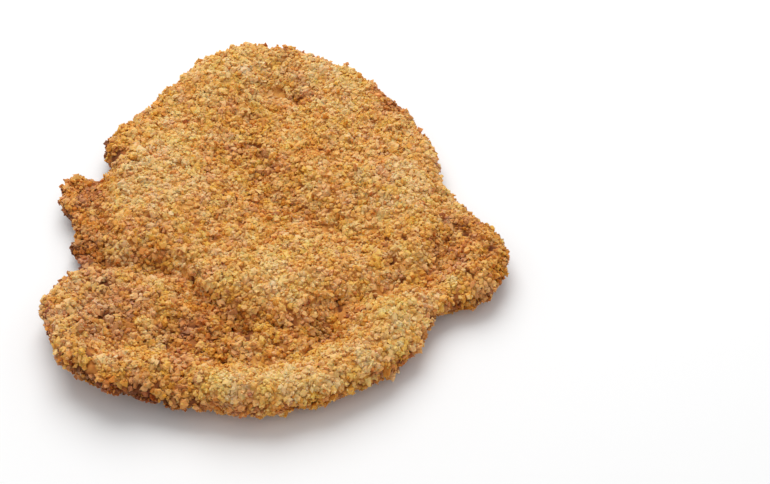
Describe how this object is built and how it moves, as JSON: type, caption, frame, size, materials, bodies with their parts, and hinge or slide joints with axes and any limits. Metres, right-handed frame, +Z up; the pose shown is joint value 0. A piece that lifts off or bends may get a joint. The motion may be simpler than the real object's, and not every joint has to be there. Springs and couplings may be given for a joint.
{
  "type": "schnitzel",
  "caption": "Crumbed, fried schnitzel: a thin, uneven slab of meat with a thick front rim, a flap at each side and a rough golden crust.",
  "frame": {"origin": "on the surface it lies on, under the middle of the piece's bounding box", "axes": "+Z up through the thickness; +Y from the thick front rim to the back crown, the longest way; +X to the right, seen from the front rim"},
  "size_m": [0.163, 0.182, 0.0177],
  "materials": {
    "crust": "matt golden brown breadcrumb crust, rough, fried in oil"
  },
  "bodies": {
    "root": {"schnitzel": "crust"}
  },
  "joints": []
}
